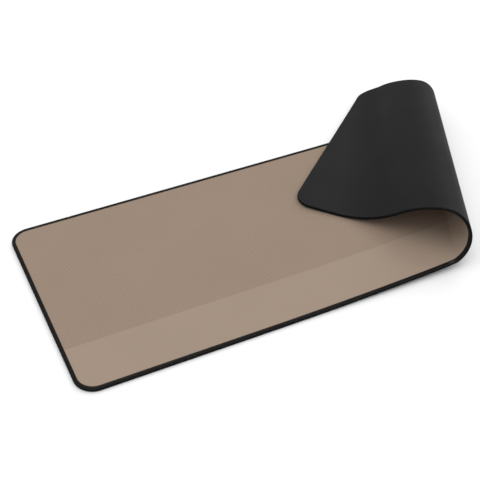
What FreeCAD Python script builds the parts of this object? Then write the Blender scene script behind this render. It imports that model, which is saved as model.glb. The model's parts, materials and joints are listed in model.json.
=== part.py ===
"""Desk mat with one end folded over: a cloth top on a rubber base, with an overlocked edge.

The mat is one flexible sheet. It is modelled as a flat base and a row of strips, and each strip
turns on the one before it about a fold line. The strips are cut from the flat mat and then folded
up in turn, so all of them together unfold to the flat mat again.

Frame, in millimetres: the origin is the centre of the unfolded mat on its underside, +X runs along
the length to the folded end, +Y across the width to the back, and +Z up out of the cloth.
"""
import FreeCAD, Part
import math
import os

# Sheet
LENGTH = 800.0
WIDTH = 300.0
CORNER_RADIUS = 25.0
RUBBER_THICKNESS = 3.4
CLOTH_THICKNESS = 0.6
TOTAL = RUBBER_THICKNESS + CLOTH_THICKNESS

# Overlocked edge: the looper threads wrap the edge, the needle thread runs along their inner side
WRAP_WIDTH = 4.2
WRAP_ABOVE = 0.3
WRAP_SIDE = 0.4
WRAP_RECESS = 0.4
DESK_GAP = 0.1
LOOPER_JOIN_HEIGHT = 2.0
NEEDLE_WIDTH = 0.5
NEEDLE_HEIGHT = 0.4
SEAT_GAP = 0.05

# Fold: each run of equal turns lies between two stations, which are given by where they cross the
# near (front) edge and the far (back) edge, in X. A positive turn folds the cloth side inward.
RUNS = [
    {"turns": 1, "degrees": 2.5, "near": (-252.0, 82.0), "far": (-13.5, 233.5)},
    {"turns": 8, "degrees": 23.5, "near": (82.0, 182.5), "far": (233.5, 305.0)},
    {"turns": 2, "degrees": 16.0, "near": (182.5, 244.0), "far": (305.0, 367.0)},
    {"turns": 3, "degrees": -14.5, "near": (244.0, 340.0), "far": (367.0, 411.5)},
]
STRIP_SETBACK = 0.2

REACH = 2.0 * LENGTH
UP = FreeCAD.Vector(0, 0, 1)


def fold_lines():
    """Every fold line as its near crossing, its far crossing and its turn, in order along +X."""
    lines = []
    for run in RUNS:
        for turn in range(run["turns"]):
            share = (turn + 0.5) / run["turns"]
            near_x = run["near"][0] + share * (run["near"][1] - run["near"][0])
            far_x = run["far"][0] + share * (run["far"][1] - run["far"][0])
            near = FreeCAD.Vector(near_x, -WIDTH / 2, TOTAL)
            far = FreeCAD.Vector(far_x, WIDTH / 2, TOTAL)
            lines.append((near, far, run["degrees"]))
    return lines


def slab(inset, low, high):
    """The mat's outline, drawn in by inset, as a solid between two heights."""
    half_x = LENGTH / 2 - inset
    half_y = WIDTH / 2 - inset
    radius = CORNER_RADIUS - inset
    block = Part.makeBox(2 * half_x, 2 * half_y, high - low, FreeCAD.Vector(-half_x, -half_y, low))
    corners = []
    for edge in block.Edges:
        if abs(edge.Vertexes[0].Z - edge.Vertexes[1].Z) > 1e-6:
            corners.append(edge)
    return block.makeFillet(radius, corners)


def ring(outer_inset, inner_inset, low, high):
    """A closed band that follows the mat's edge between two insets and two heights."""
    return slab(outer_inset, low, high).cut(slab(inner_inset, low - 1.0, high + 1.0))


def rubber_layer():
    """The base, stepped up along its edge to leave room for the thread underneath."""
    middle = slab(WRAP_WIDTH + SEAT_GAP, 0.0, RUBBER_THICKNESS)
    margin = ring(WRAP_SIDE + SEAT_GAP, WRAP_WIDTH + SEAT_GAP, WRAP_RECESS, RUBBER_THICKNESS)
    return middle.fuse(margin).removeSplitter()


def cloth_layer():
    return slab(WRAP_SIDE + SEAT_GAP, RUBBER_THICKNESS, TOTAL)


def looper_layer():
    """The two looper threads: the upper one over the cloth, the lower one under the rubber."""
    upper_leg = ring(0.0, WRAP_WIDTH, TOTAL, TOTAL + WRAP_ABOVE)
    upper_side = ring(0.0, WRAP_SIDE, LOOPER_JOIN_HEIGHT, TOTAL)
    lower_leg = ring(0.0, WRAP_WIDTH, DESK_GAP, WRAP_RECESS)
    lower_side = ring(0.0, WRAP_SIDE, WRAP_RECESS, LOOPER_JOIN_HEIGHT - SEAT_GAP)
    upper = upper_leg.fuse(upper_side).removeSplitter()
    lower = lower_leg.fuse(lower_side).removeSplitter()
    return Part.makeCompound([upper, lower])


def needle_layer():
    start = WRAP_WIDTH + SEAT_GAP
    return ring(start, start + NEEDLE_WIDTH, TOTAL, TOTAL + NEEDLE_HEIGHT)


def half_space(line, forward):
    """All the space on one side of a fold line, short of it by the setback.

    Where the rubber side closes up, the face also leans back by half the turn.
    """
    near, far, degrees = line
    along = (far - near).normalize()
    across = along.cross(UP)
    box = Part.makeBox(REACH, 2 * REACH, 2 * REACH, FreeCAD.Vector(STRIP_SETBACK, -REACH, -REACH))
    if not forward:
        box.rotate(FreeCAD.Vector(0, 0, 0), UP, 180)
    heading = math.degrees(math.atan2(across.y, across.x))
    box.rotate(FreeCAD.Vector(0, 0, 0), UP, heading)
    if degrees < 0:
        lean = degrees / 2 if forward else -degrees / 2
        box.rotate(FreeCAD.Vector(0, 0, 0), along, lean)
    box.translate(near)
    return box


def strip(layer, lines, index):
    """The part of a layer between fold line index and the next one, still flat."""
    piece = layer
    if index > 0:
        piece = piece.common(half_space(lines[index - 1], True))
    if index < len(lines):
        piece = piece.common(half_space(lines[index], False))
    return piece


def placements(lines):
    """Where each strip goes: every fold line turns all that lies beyond it."""
    place = FreeCAD.Placement()
    places = [place]
    for near, far, degrees in lines:
        axis = near - far
        turn = FreeCAD.Rotation(axis, degrees)
        place = place.multiply(FreeCAD.Placement(FreeCAD.Vector(0, 0, 0), turn, near))
        places.append(place)
    return places


def solids_only(shape):
    return Part.makeCompound(shape.Solids)


def main():
    os.makedirs("parts", exist_ok=True)
    lines = fold_lines()
    places = placements(lines)
    layers = {
        "rubber": rubber_layer(),
        "cloth": cloth_layer(),
        "looper_thread": looper_layer(),
        "needle_thread": needle_layer(),
    }
    for index, place in enumerate(places):
        for name, layer in layers.items():
            piece = solids_only(strip(layer, lines, index))
            piece.transformShape(place.toMatrix(), True)
            piece.exportStep("parts/%s_%02d.step" % (name, index))


main()
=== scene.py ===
"""Visual model of a desk mat with one end folded over: printed cloth on rubber, overlocked edge."""
import json
import math

import bpy
import bmesh
import numpy as np
from mathutils import Matrix, Vector

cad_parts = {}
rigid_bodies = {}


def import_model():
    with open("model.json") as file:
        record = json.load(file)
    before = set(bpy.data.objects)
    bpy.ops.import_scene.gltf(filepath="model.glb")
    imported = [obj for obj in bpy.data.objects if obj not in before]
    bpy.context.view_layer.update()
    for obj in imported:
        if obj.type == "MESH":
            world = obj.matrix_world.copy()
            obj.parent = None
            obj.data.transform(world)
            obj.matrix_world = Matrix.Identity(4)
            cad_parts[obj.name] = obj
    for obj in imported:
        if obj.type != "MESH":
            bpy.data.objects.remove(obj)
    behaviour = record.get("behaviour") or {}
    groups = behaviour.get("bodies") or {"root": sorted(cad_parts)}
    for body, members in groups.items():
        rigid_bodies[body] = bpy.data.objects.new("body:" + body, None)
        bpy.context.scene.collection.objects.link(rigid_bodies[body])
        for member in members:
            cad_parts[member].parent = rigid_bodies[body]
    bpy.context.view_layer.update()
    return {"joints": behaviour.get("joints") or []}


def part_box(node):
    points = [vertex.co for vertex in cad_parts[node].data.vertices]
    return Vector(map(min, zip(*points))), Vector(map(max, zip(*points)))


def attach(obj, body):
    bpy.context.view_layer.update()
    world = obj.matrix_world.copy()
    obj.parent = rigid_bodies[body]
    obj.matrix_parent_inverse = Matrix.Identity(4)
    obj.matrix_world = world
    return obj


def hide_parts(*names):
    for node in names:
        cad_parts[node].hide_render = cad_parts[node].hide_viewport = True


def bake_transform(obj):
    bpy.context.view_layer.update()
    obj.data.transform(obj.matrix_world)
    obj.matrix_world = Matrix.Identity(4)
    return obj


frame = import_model()

# The flat sheet, read from the base, which lies on the desk as it does when the mat is unfolded
HALF_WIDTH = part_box("looper_thread_00")[1].y
HALF_LENGTH = -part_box("looper_thread_00")[0].x
CLOTH_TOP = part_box("cloth_00")[1].z
RUBBER_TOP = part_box("rubber_00")[1].z
CORE_INSET = HALF_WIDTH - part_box("cloth_00")[1].y
CORNER_RADIUS = 0.025
BAND_WIDTH = 0.072

# Overlocked edge
STITCH_PITCH = 0.0016
LOOPER_RADIUS = 0.00042
NEEDLE_RADIUS = 0.00028

# Mesh
STEP_ALONG_FOLD = 0.006
STEPS_ON_BASE = 40
STEPS_PER_FOLD = 6
ROWS_BEYOND_LAST_FOLD = 12
CORNER_CUTS = 10
LOOPER_SIDES = 5
NEEDLE_SIDES = 6

# Points closer than this count as one
SAME_PLACE = 1e-6


# ---------------------------------------------------------------- the fold

def turn_about(point, axis, angle):
    return Matrix.Translation(point) @ Matrix.Rotation(angle, 4, axis) @ Matrix.Translation(-point)


def read_folds():
    """Each fold line on the flat sheet, and the matrix that takes each body from flat to rest."""
    unfold = Matrix.Identity(4)
    lines = []
    to_rest = [Matrix.Identity(4)]
    bodies = [frame["joints"][0]["parent"]]
    for joint in frame["joints"]:
        point = Vector(joint["pos_m"])
        axis = Vector(joint["axis"])
        flat_point = unfold @ point
        flat_axis = (unfold.to_3x3() @ axis).normalized()
        crossings = []
        for y in (-HALF_WIDTH, HALF_WIDTH):
            crossings.append(flat_point.x + flat_axis.x * (y - flat_point.y) / flat_axis.y)
        lines.append(crossings)
        unfold = unfold @ turn_about(point, axis, math.radians(joint["range_deg"][1]))
        to_rest.append(unfold.inverted())
        bodies.append(joint["child"])
    return np.array(lines), np.array([np.array(m) for m in to_rest]), bodies


FOLDS, TO_REST, BODIES = read_folds()
COUNT = len(FOLDS)


def joins_between():
    """Lines half way between neighbouring fold lines, and one beyond each end of the row."""
    middle = (FOLDS[1:] + FOLDS[:-1]) / 2
    first = 2 * FOLDS[0] - middle[0]
    last = 2 * FOLDS[-1] - middle[-1]
    return np.vstack([first, middle, last])


JOINS = joins_between()


def line_x(line, y):
    """Where a line that is given by its near and far crossings stands at y."""
    return line[0] + (line[1] - line[0]) * (y + HALF_WIDTH) / (2 * HALF_WIDTH)


def place(matrix, points):
    return points @ matrix[:3, :3].T + matrix[:3, 3]


def fold_up(points):
    """Takes points of the flat sheet to rest. Round each fold line the sheet follows a curve that is
    tangent to the bodies on both sides half way to the next fold line."""
    points = np.asarray(points, float)
    rest = points.copy()
    x, y = points.T[:2]
    zone = np.zeros(len(points), int)
    for join in JOINS:
        zone += x > line_x(join, y)
    beyond = zone == COUNT + 1
    rest[beyond] = place(TO_REST[COUNT], points[beyond])
    for k in range(COUNT):
        here = zone == k + 1
        if not here.any():
            continue
        rest[here] = round_fold(k, points[here])
    return rest


def round_fold(k, points):
    """The rounded sheet between two joins: a quadratic curve over the fold line's two flat sides."""
    x, y, z = points.T
    start = line_x(JOINS[k], y)
    corner = line_x(FOLDS[k], y)
    end = line_x(JOINS[k + 1], y)
    a = start - 2 * corner + end
    b = 2 * (corner - start)
    gone = x - start
    t = (2 * gone / (b + np.sqrt(np.maximum(b * b + 4 * a * gone, 0))))[:, None]
    flat = np.full(len(points), CLOTH_TOP)
    p0 = place(TO_REST[k], np.stack([start, y, flat], 1))
    p1 = place(TO_REST[k], np.stack([corner, y, flat], 1))
    p2 = place(TO_REST[k + 1], np.stack([end, y, flat], 1))
    on_curve = (1 - t) ** 2 * p0 + 2 * t * (1 - t) * p1 + t ** 2 * p2
    along = 2 * (1 - t) * (p1 - p0) + 2 * t * (p2 - p1)
    before = TO_REST[k][:3, :3]
    after = TO_REST[k + 1][:3, :3]
    hinge = before @ np.array([FOLDS[k][1] - FOLDS[k][0], 2 * HALF_WIDTH, 0.0])
    normal = np.cross(along, hinge)
    normal /= np.linalg.norm(normal, axis=1)[:, None]
    up = (before[:, 2] + after[:, 2]) / 2
    normal *= np.sign(normal @ up)[:, None]
    return on_curve + normal * (z - CLOTH_TOP)[:, None]


def zone_of(x, y):
    """Which run of sheet, from one join to the next, holds a point: 0 is the flat base."""
    zone = 0
    for join in JOINS[:-1]:
        zone += x > line_x(join, y)
    return int(zone)


# ---------------------------------------------------------------- pieces

def blend_across(piece, zone):
    """Ties a piece of the flat base to the base's body. A piece of any other zone is tied to no body: its
    hinge is worked out but not used, and the piece's transform is only baked into its mesh.
    """
    if zone == 0:
        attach(piece, BODIES[0])
        return
    k = zone - 1
    near = fold_up([[FOLDS[k][0], -HALF_WIDTH, CLOTH_TOP]])[0]
    far = fold_up([[FOLDS[k][1], HALF_WIDTH, CLOTH_TOP]])[0]
    hinge = Vector(far - near).normalized()
    across = Vector(TO_REST[k][:3, 0] + TO_REST[k + 1][:3, 0])
    across = (across - hinge * across.dot(hinge)).normalized()
    for y in (-HALF_WIDTH, HALF_WIDTH):
        for join in (JOINS[k], JOINS[k + 1]):
            edge = Vector(fold_up([[line_x(join, y), y, CLOTH_TOP]])[0])
    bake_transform(piece)


def new_piece(name, points, faces, flat_points, material):
    """A mesh at rest. Its UV map holds the first two columns of flat_points: x and y on the flat sheet,
    in metres, or for a thread the way along it and the share of a turn round it."""
    mesh = bpy.data.meshes.new(name)
    mesh.from_pydata([tuple(p) for p in points], [], faces)
    uv = mesh.uv_layers.new(name="sheet")
    corner_vertex = np.zeros(len(mesh.loops), np.int32)
    mesh.loops.foreach_get("vertex_index", corner_vertex)
    uv.data.foreach_set("uv", np.asarray(flat_points)[corner_vertex, :2].astype(np.float32).ravel())
    mesh.polygons.foreach_set("use_smooth", [True] * len(mesh.polygons))
    mesh.materials.append(material)
    piece = bpy.data.objects.new(name, mesh)
    bpy.context.scene.collection.objects.link(piece)
    return piece


def flat_grid(zone):
    """The flat sheet of one zone as a grid, before its outline is cut: rows follow the fold line.
    The last zone runs on beyond the mat's end."""
    if zone == 0:
        start = np.array([-HALF_LENGTH, -HALF_LENGTH])
        steps = STEPS_ON_BASE
    else:
        start = JOINS[zone - 1]
        steps = STEPS_PER_FOLD
    stop = JOINS[zone]
    rows = [start + (stop - start) * i / steps for i in range(steps + 1)]
    if zone == COUNT:
        half_gap = (JOINS[COUNT] - JOINS[COUNT - 1]) / 2
        rows += [stop + half_gap * (i + 1) for i in range(ROWS_BEYOND_LAST_FOLD)]
    across = int(2 * HALF_WIDTH / STEP_ALONG_FOLD)
    ys = np.linspace(-HALF_WIDTH, HALF_WIDTH, across + 1)
    grid = bmesh.new()
    table = [[grid.verts.new((line_x(row, y), y, 0.0)) for y in ys] for row in rows]
    for one, two in zip(table[:-1], table[1:]):
        for j in range(across):
            grid.faces.new((one[j], two[j], two[j + 1], one[j + 1]))
    return grid


def cut_outline(grid, inset):
    """Cuts a flat grid to the mat's rounded outline, drawn in by inset."""
    half = (HALF_LENGTH - inset, HALF_WIDTH - inset)
    planes = []
    for way in ((1, 0), (-1, 0), (0, 1), (0, -1)):
        planes.append(((way[0] * half[0], way[1] * half[1]), way))
    radius = CORNER_RADIUS - inset
    for sx in (-1, 1):
        for sy in (-1, 1):
            centre = (sx * (half[0] - radius), sy * (half[1] - radius))
            for i in range(CORNER_CUTS):
                angle = (i + 0.5) / CORNER_CUTS * math.pi / 2
                way = (sx * math.cos(angle), sy * math.sin(angle))
                planes.append(((centre[0] + way[0] * radius, centre[1] + way[1] * radius), way))
    for point, way in planes:
        everything = grid.verts[:] + grid.edges[:] + grid.faces[:]
        place = (*point, 0)
        normal = (*way, 0)
        bmesh.ops.bisect_plane(
            grid, geom=everything, dist=SAME_PLACE / 10, plane_co=place, plane_no=normal, clear_outer=True)


def sheet_slab(name, zone, inset, low, high, material):
    """One layer of one zone as a closed slab, folded to rest."""
    grid = flat_grid(zone)
    cut_outline(grid, inset)
    bmesh.ops.dissolve_degenerate(grid, edges=grid.edges[:], dist=SAME_PLACE)
    grid.verts.ensure_lookup_table()
    grid.verts.index_update()
    flat = np.array([v.co[:2] for v in grid.verts])
    tops = [[v.index for v in f.verts] for f in grid.faces]
    area = sum(f.calc_area() for f in grid.faces)
    rims = []
    for edge in grid.edges:
        if edge.is_boundary:
            a, b = [v.index for v in edge.verts]
            forward = edge.link_loops[0].vert.index == a
            rims.append((a, b) if forward else (b, a))
    grid.free()
    n = len(flat)
    upper = np.column_stack([flat, np.full(n, high)])
    lower = np.column_stack([flat, np.full(n, low)])
    faces = list(tops)
    faces += [[i + n for i in reversed(f)] for f in tops]
    for a, b in rims:
        faces.append([b, a, a + n, b + n])
    points = np.vstack([upper, lower])
    piece = new_piece(name, fold_up(points), faces, points, material)
    harden_rim(piece, n)
    return piece, area


def harden_rim(piece, n):
    """Marks the slab's top and bottom rims sharp, so that only the faces are shaded smooth. Points
    from number n on are on the underside."""
    mesh = piece.data
    sides = set()
    for polygon in mesh.polygons:
        owners = {v >= n for v in polygon.vertices}
        if len(owners) == 2:
            sides.add(polygon.index)
    edge_faces = {}
    for polygon in mesh.polygons:
        for key in polygon.edge_keys:
            edge_faces.setdefault(key, []).append(polygon.index in sides)
    for edge in mesh.edges:
        kinds = edge_faces.get(edge.key, [])
        edge.use_edge_sharp = len(set(kinds)) == 2


# ---------------------------------------------------------------- overlocked edge

STRAIGHT_X = 2 * (HALF_LENGTH - CORNER_RADIUS)
STRAIGHT_Y = 2 * (HALF_WIDTH - CORNER_RADIUS)
QUARTER = CORNER_RADIUS * math.pi / 2
PERIMETER = 2 * STRAIGHT_X + 2 * STRAIGHT_Y + 4 * QUARTER
STITCHES = int(round(PERIMETER / STITCH_PITCH))


def edge_points(distance, inset):
    """Points of the outline at a distance along it and an inset from it, anticlockwise from where the
    near left corner meets the near edge."""
    distance = np.mod(distance, PERIMETER)
    x = np.zeros_like(distance)
    y = np.zeros_like(distance)
    corner = (HALF_LENGTH - CORNER_RADIUS, HALF_WIDTH - CORNER_RADIUS)
    sides = [
        ((-corner[0], -corner[1]), (1, 0), STRAIGHT_X, (corner[0], -corner[1])),
        ((corner[0], -corner[1]), (0, 1), STRAIGHT_Y, (corner[0], corner[1])),
        ((corner[0], corner[1]), (-1, 0), STRAIGHT_X, (-corner[0], corner[1])),
        ((-corner[0], corner[1]), (0, -1), STRAIGHT_Y, (-corner[0], -corner[1])),
    ]
    done = 0.0
    for start, way, length, centre in sides:
        out = (way[1], -way[0])
        on = (distance >= done) & (distance < done + length)
        along = distance - done
        reach = CORNER_RADIUS - inset
        x = np.where(on, start[0] + way[0] * along + out[0] * reach, x)
        y = np.where(on, start[1] + way[1] * along + out[1] * reach, y)
        done += length
        on = (distance >= done) & (distance < done + QUARTER)
        angle = (distance - done) / CORNER_RADIUS
        x = np.where(on, centre[0] + (out[0] * np.cos(angle) + way[0] * np.sin(angle)) * reach, x)
        y = np.where(on, centre[1] + (out[1] * np.cos(angle) + way[1] * np.sin(angle)) * reach, y)
        done += QUARTER
    return x, y


# One stitch of each thread: share of the pitch, inset from the edge and height above the desk, in mm
UPPER_LOOP = [
    (0.00, 4.20, 4.05), (0.14, 4.05, 4.14), (0.23, 3.00, 4.20), (0.25, 1.50, 4.20), (0.28, 0.50, 4.05),
    (0.31, 0.20, 3.40), (0.37, 0.20, 2.60), (0.50, 0.20, 2.30), (0.63, 0.20, 2.60), (0.69, 0.20, 3.40),
    (0.72, 0.50, 4.05), (0.75, 1.50, 4.20), (0.77, 3.00, 4.20), (0.86, 4.05, 4.14),
]
LOWER_LOOP = [
    (0.00, 4.20, 0.46), (0.14, 4.05, 0.44), (0.23, 3.00, 0.43), (0.25, 1.50, 0.43), (0.28, 0.50, 0.55),
    (0.33, 0.20, 1.20), (0.50, 0.20, 2.05), (0.67, 0.20, 1.20), (0.72, 0.50, 0.55), (0.75, 1.50, 0.43),
    (0.77, 3.00, 0.43), (0.86, 4.05, 0.44),
]
NEEDLE_TOP = [(0.00, 4.35, 4.02), (0.15, 4.35, 4.30), (0.50, 4.35, 4.42), (0.85, 4.35, 4.30)]
MM = 0.001
UPRIGHT_SHARE = 0.2


def thread_path(loop, shift):
    """The thread's line on the flat sheet, all round the edge."""
    stitch = np.repeat(np.arange(STITCHES), len(loop))
    share = np.tile([p[0] for p in loop], STITCHES)
    inset = np.tile([p[1] for p in loop], STITCHES) * MM
    height = np.tile([p[2] for p in loop], STITCHES) * MM
    distance = (stitch + share + shift) * PERIMETER / STITCHES
    x, y = edge_points(distance, inset)
    return np.stack([x, y, height], 1)


def thread_tube(path, radius, sides):
    """Rings of points round a closed path. Where the path runs straight up or down, a ring takes its
    side from the sheet's length, and each ring keeps to its neighbour's way round."""
    ahead = np.roll(path, -1, 0) - np.roll(path, 1, 0)
    ahead /= np.linalg.norm(ahead, axis=1)[:, None]
    up = np.array([0.0, 0.0, 1.0])
    side = np.cross(ahead, up)
    upright = np.linalg.norm(side, axis=1) < UPRIGHT_SHARE
    side[upright] = np.cross(ahead[upright], np.array([1.0, 0.0, 0.0]))
    side /= np.linalg.norm(side, axis=1)[:, None]
    for i in range(1, len(side)):
        if side[i] @ side[i - 1] < 0:
            side[i] = -side[i]
    top = np.cross(side, ahead)
    angles = np.arange(sides) * 2 * math.pi / sides
    sideways = np.cos(angles)[None, :, None] * side[:, None, :]
    upward = np.sin(angles)[None, :, None] * top[:, None, :]
    return path[:, None, :] + radius * (sideways + upward)


def thread_pieces(name, loop, shift, radius, sides, material):
    """The thread round the whole edge, split into one piece for each zone that it passes."""
    path = thread_path(loop, shift)
    rings = thread_tube(path, radius, sides)
    per = len(loop)
    middles = path[per // 2::per]
    owner = np.array([zone_of(p[0], p[1]) for p in middles])
    steps = np.linalg.norm(np.diff(path, axis=0), axis=1)
    gone = np.concatenate([[0], np.cumsum(steps)])
    pieces = {}
    for zone in range(COUNT + 1):
        mine = np.where(owner == zone)[0]
        if len(mine) == 0:
            continue
        points = []
        flat = []
        faces = []
        for run in np.split(mine, np.where(np.diff(mine) != 1)[0] + 1):
            rows = np.arange(run[0] * per, (run[-1] + 1) * per + 1) % len(path)
            base = sum(len(p) for p in points)
            points.append(rings[rows].reshape(-1, 3))
            lengthwise = np.repeat(gone[rows], sides)
            around = np.tile(np.arange(sides) / sides, len(rows))
            flat.append(np.stack([lengthwise, around], 1))
            for i in range(len(rows) - 1):
                for j in range(sides):
                    k = (j + 1) % sides
                    a = base + i * sides
                    b = a + sides
                    faces.append((a + j, b + j, b + k, a + k))
            last = base + (len(rows) - 1) * sides
            faces.append(tuple(base + j for j in range(sides)))
            faces.append(tuple(last + j for j in reversed(range(sides))))
        folded = fold_up(np.vstack(points))
        piece_name = "%s_%02d" % (name, zone)
        pieces[zone] = new_piece(piece_name, folded, faces, np.vstack(flat), material)
    return pieces


# ---------------------------------------------------------------- materials

def new_material(name, color, rough):
    material = bpy.data.materials.new(name)
    material.use_nodes = True
    nodes = material.node_tree.nodes
    shader = nodes["Principled BSDF"]
    shader.inputs["Base Color"].default_value = (*color, 1)
    shader.inputs["Roughness"].default_value = rough
    return material, shader


class Nodes:
    """Short calls that add nodes to one material and join them."""

    def __init__(self, material):
        self.tree = material.node_tree

    def add(self, kind, inputs=(), **settings):
        node = self.tree.nodes.new(kind)
        for key, value in settings.items():
            setattr(node, key, value)
        for key, value in inputs:
            if isinstance(value, bpy.types.NodeSocket):
                self.tree.links.new(value, node.inputs[key])
            else:
                node.inputs[key].default_value = value
        return node

    def math(self, operation, a, b=0.0, c=0.0):
        return self.add("ShaderNodeMath", ((0, a), (1, b), (2, c)), operation=operation).outputs[0]

    def mix(self, factor, a, b):
        node = self.add("ShaderNodeMix", (("Factor", factor),), data_type="RGBA")
        for key, value in ((6, a), (7, b)):
            if isinstance(value, bpy.types.NodeSocket):
                self.tree.links.new(value, node.inputs[key])
            else:
                node.inputs[key].default_value = value
        return node.outputs[2]

    def wave(self, value, pitch):
        """From 0 to 1 and back once in each pitch."""
        turned = self.math("MULTIPLY", value, 2 * math.pi / pitch)
        return self.math("MULTIPLY_ADD", self.math("SINE", turned), 0.5, 0.5)

    def sheet_place(self):
        """The UV map as a vector, and its two parts."""
        place = self.add("ShaderNodeUVMap", uv_map="sheet").outputs[0]
        split = self.add("ShaderNodeSeparateXYZ", (("Vector", place),))
        return place, split.outputs[0], split.outputs[1]

    def noise(self, place, **inputs):
        return self.add("ShaderNodeTexNoise", (("Vector", place), *inputs.items())).outputs[0]

    def bump(self, height, strength, distance):
        inputs = (("Strength", strength), ("Distance", distance), ("Height", height))
        return self.add("ShaderNodeBump", inputs).outputs[0]

    def link(self, out, into):
        self.tree.links.new(out, into)


def rgb(r, g, b):
    """A screen colour, 0 to 255, as linear light."""
    def linear(c):
        c = c / 255
        return c / 12.92 if c <= 0.04045 else ((c + 0.055) / 1.055) ** 2.4
    return (linear(r), linear(g), linear(b), 1.0)


# Cloth: a fine lattice on the main field, plain weave on the band along the near edge
LATTICE_X = 0.0030
LATTICE_Y = 0.0030
THREAD_PITCH = 0.00042
CLOTH_MEAN = rgb(160, 143, 126)
CLOTH_DARK = rgb(124, 106, 92)
CLOTH_LIGHT = rgb(172, 154, 137)
# The band's two tones are painted shade between the threads of its weave and painted light on their crowns
BAND_SHADED_GAPS = rgb(143, 126, 111)
BAND_LIT_CROWNS = rgb(155, 137, 121)
CLOTH_RELIEF = 0.00012
SHEEN_TINT = (0.9, 0.85, 0.8, 1)


def crossed(n, x, y, pitch):
    """Bumps at the crossings of two sets of slanting waves."""
    return n.math("MULTIPLY", n.wave(n.math("ADD", x, y), pitch), n.wave(n.math("SUBTRACT", x, y), pitch))


def cloth_material():
    material, shader = new_material("cloth", CLOTH_MEAN[:3], 0.88)
    n = Nodes(material)
    sheet, x, y = n.sheet_place()
    lean = n.math("MULTIPLY", y, LATTICE_X / LATTICE_Y)
    patterned = n.math("GREATER_THAN", y, -HALF_WIDTH + BAND_WIDTH)
    dots = n.math("MULTIPLY", crossed(n, x, lean, LATTICE_X), patterned)
    weave = n.math("MULTIPLY", n.wave(x, THREAD_PITCH), n.wave(y, THREAD_PITCH))
    cloudy = n.noise(sheet, Scale=9.0, Detail=3.0, Roughness=0.55)
    fibre = n.noise(sheet, Scale=1500.0, Detail=2.0)
    main = n.mix(dots, CLOTH_DARK, CLOTH_LIGHT)
    # Painted shade between the band's woven threads, painted light on their raised crowns
    plain = n.mix(weave, BAND_SHADED_GAPS, BAND_LIT_CROWNS)
    tint = n.math("MULTIPLY_ADD", cloudy, 0.10, 0.95)
    grain = n.math("MULTIPLY_ADD", fibre, 0.12, 0.94)
    shade = n.math("MULTIPLY", tint, grain)
    field = n.mix(patterned, plain, main)
    colour = n.add("ShaderNodeHueSaturation", (("Color", field), ("Value", shade)))
    n.link(colour.outputs[0], shader.inputs["Base Color"])
    height = n.math("ADD", n.math("MULTIPLY", dots, 0.6), n.math("MULTIPLY", weave, 0.4))
    height = n.math("ADD", height, n.math("MULTIPLY", fibre, 0.3))
    n.link(n.bump(height, 0.35, CLOTH_RELIEF), shader.inputs["Normal"])
    shader.inputs["Sheen Weight"].default_value = 0.08
    shader.inputs["Sheen Roughness"].default_value = 0.5
    shader.inputs["Sheen Tint"].default_value = SHEEN_TINT
    shader.inputs["Specular IOR Level"].default_value = 0.2
    return material


# Rubber: black foam with a fine crossed grip pattern
GRIP_PITCH = 0.0014
RUBBER_MEAN = (0.016, 0.016, 0.0165)
RUBBER_DARK = (0.0030, 0.0030, 0.0031, 1)
RUBBER_LIGHT = (0.0062, 0.0062, 0.0064, 1)
RUBBER_RELIEF = 0.00015


def rubber_material():
    material, shader = new_material("rubber", RUBBER_MEAN, 0.62)
    n = Nodes(material)
    sheet, x, y = n.sheet_place()
    grip = crossed(n, x, y, GRIP_PITCH)
    cells = n.noise(sheet, Scale=900.0, Detail=3.0)
    cloudy = n.noise(sheet, Scale=14.0, Detail=4.0)
    tone = n.math("MULTIPLY_ADD", cells, 0.5, 0.5)
    n.link(n.mix(tone, RUBBER_DARK, RUBBER_LIGHT), shader.inputs["Base Color"])
    n.link(n.math("MULTIPLY_ADD", cloudy, 0.16, 0.52), shader.inputs["Roughness"])
    height = n.math("ADD", n.math("MULTIPLY", grip, 0.6), n.math("MULTIPLY", cells, 0.5))
    n.link(n.bump(height, 0.45, RUBBER_RELIEF), shader.inputs["Normal"])
    shader.inputs["Specular IOR Level"].default_value = 0.12
    return material


# Thread: three plies twisted together; its UV map holds the way along it and the share of a turn round it
TWIST_PITCH = 0.0011
PLIES = 3
THREAD_MEAN = (0.012, 0.011, 0.011)
# Partly painted shade and light: the dark tone fills the grooves between the plies and the light tone
# their crowns, mixed with random fuzz
THREAD_DARK = (0.0015, 0.0015, 0.0015, 1)
THREAD_LIGHT = (0.008, 0.0077, 0.0074, 1)
THREAD_RELIEF = 0.00008


def thread_material():
    material, shader = new_material("thread", THREAD_MEAN, 0.6)
    n = Nodes(material)
    along_thread, along, around = n.sheet_place()
    twist = n.math("ADD", n.math("MULTIPLY", along, 1 / TWIST_PITCH), around)
    ply = n.wave(twist, 1 / PLIES)
    fuzz = n.noise(along_thread, Scale=2200.0, Detail=2.0)
    # Painted shade in the grooves between the plies and painted light on their crowns, broken up at random
    # by the fuzz
    colour = n.mix(n.math("MULTIPLY", ply, fuzz), THREAD_DARK, THREAD_LIGHT)
    n.link(colour, shader.inputs["Base Color"])
    n.link(n.bump(ply, 0.5, THREAD_RELIEF), shader.inputs["Normal"])
    shader.inputs["Specular IOR Level"].default_value = 0.2
    return material


# ---------------------------------------------------------------- the mat

CLOTH = cloth_material()
RUBBER = rubber_material()
THREAD = thread_material()


def lay_cloth(zone):
    name = "cloth_top_%02d" % zone
    piece, area = sheet_slab(name, zone, CORE_INSET, RUBBER_TOP, CLOTH_TOP, CLOTH)
    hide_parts("cloth_%02d" % zone)
    blend_across(piece, zone)


def lay_rubber(zone):
    name = "rubber_base_%02d" % zone
    piece, area = sheet_slab(name, zone, CORE_INSET, 0.0, RUBBER_TOP, RUBBER)
    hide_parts("rubber_%02d" % zone)
    blend_across(piece, zone)


for zone in range(COUNT + 1):
    lay_cloth(zone)
    lay_rubber(zone)

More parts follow.
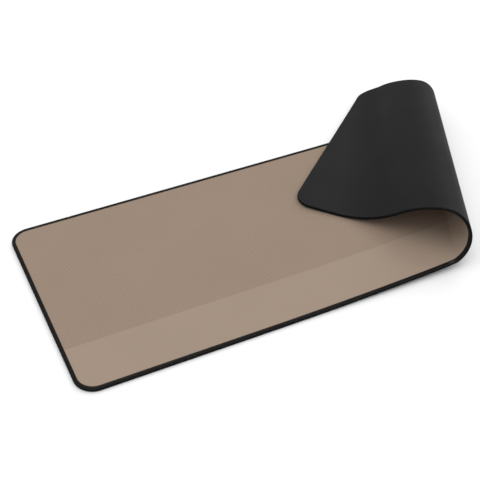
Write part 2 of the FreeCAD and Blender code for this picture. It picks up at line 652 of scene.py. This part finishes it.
# Name, stitch, shift in stitches, radius, sides of the tube and the CAD node that it stands for
THREADS = [
    ("upper_looper", UPPER_LOOP, 0.0, LOOPER_RADIUS, LOOPER_SIDES, "looper_thread"),
    ("lower_looper", LOWER_LOOP, 0.5, LOOPER_RADIUS, LOOPER_SIDES, "looper_thread"),
    ("needle_thread_top", NEEDLE_TOP, 0.0, NEEDLE_RADIUS, NEEDLE_SIDES, "needle_thread"),
]
for name, loop, shift, radius, sides, node in THREADS:
    for zone, piece in thread_pieces(name, loop, shift, radius, sides, THREAD).items():
        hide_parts("%s_%02d" % (node, zone))
        blend_across(piece, zone)


# ---------------------------------------------------------------- camera, floor and light

SENSOR_WIDTH_MM = 36.0
LENS_MM = 75.1
CAMERA_SPOT = Vector((-0.5437, -0.8729, 0.8608))
CAMERA_TARGET = Vector((-0.1283, 0.0145, 0.0))
FLOOR_HALF = 12.0
FLOOR_GREY = 0.84
WORLD_STRENGTH = 0.87
OVERHEAD_STRENGTH = 0.82
OVERHEAD_SPREAD = 60
BEHIND_STRENGTH = 0.75
BEHIND_SPREAD = 40
BEHIND_WAY = (0.6, 0.45, 0.55)


def make_camera():
    """Stands in front and to the left of the mat, looking down on it."""
    data = bpy.data.cameras.new("camera")
    data.sensor_width = SENSOR_WIDTH_MM
    data.lens = LENS_MM
    camera = bpy.data.objects.new("camera", data)
    bpy.context.scene.collection.objects.link(camera)
    camera.location = CAMERA_SPOT
    camera.rotation_mode = "QUATERNION"
    camera.rotation_quaternion = (CAMERA_TARGET - CAMERA_SPOT).to_track_quat("-Z", "Y")
    bpy.context.scene.camera = camera


def make_floor():
    mesh = bpy.data.meshes.new("floor")
    corners = [(x * FLOOR_HALF, y * FLOOR_HALF, 0) for x, y in ((-1, -1), (1, -1), (1, 1), (-1, 1))]
    mesh.from_pydata(corners, [], [(0, 1, 2, 3)])
    floor = bpy.data.objects.new("floor", mesh)
    bpy.context.scene.collection.objects.link(floor)
    material, shader = new_material("floor", (FLOOR_GREY, FLOOR_GREY, FLOOR_GREY), 0.9)
    shader.inputs["Specular IOR Level"].default_value = 0.0
    mesh.materials.append(material)


def soft_sun(name, toward, strength, spread_degrees):
    """An even, soft-edged light. toward points from the mat to the light."""
    data = bpy.data.lights.new(name, "SUN")
    data.energy = strength
    data.angle = math.radians(spread_degrees)
    sun = bpy.data.objects.new(name, data)
    sun.rotation_mode = "QUATERNION"
    sun.rotation_quaternion = Vector(toward).to_track_quat("Z", "Y")
    bpy.context.scene.collection.objects.link(sun)


def make_light():
    """Even light all round, a soft light overhead and a soft one from behind and to the right."""
    world = bpy.data.worlds.new("studio")
    world.use_nodes = True
    background = world.node_tree.nodes["Background"]
    background.inputs["Color"].default_value = (1, 1, 1, 1)
    background.inputs["Strength"].default_value = WORLD_STRENGTH
    bpy.context.scene.world = world
    soft_sun("overhead", (0, 0, 1), OVERHEAD_STRENGTH, OVERHEAD_SPREAD)
    soft_sun("behind", BEHIND_WAY, BEHIND_STRENGTH, BEHIND_SPREAD)
    view = bpy.context.scene.view_settings
    view.view_transform = "Standard"
    view.look = "None"
    view.exposure = 0.0


make_camera()
make_floor()
make_light()
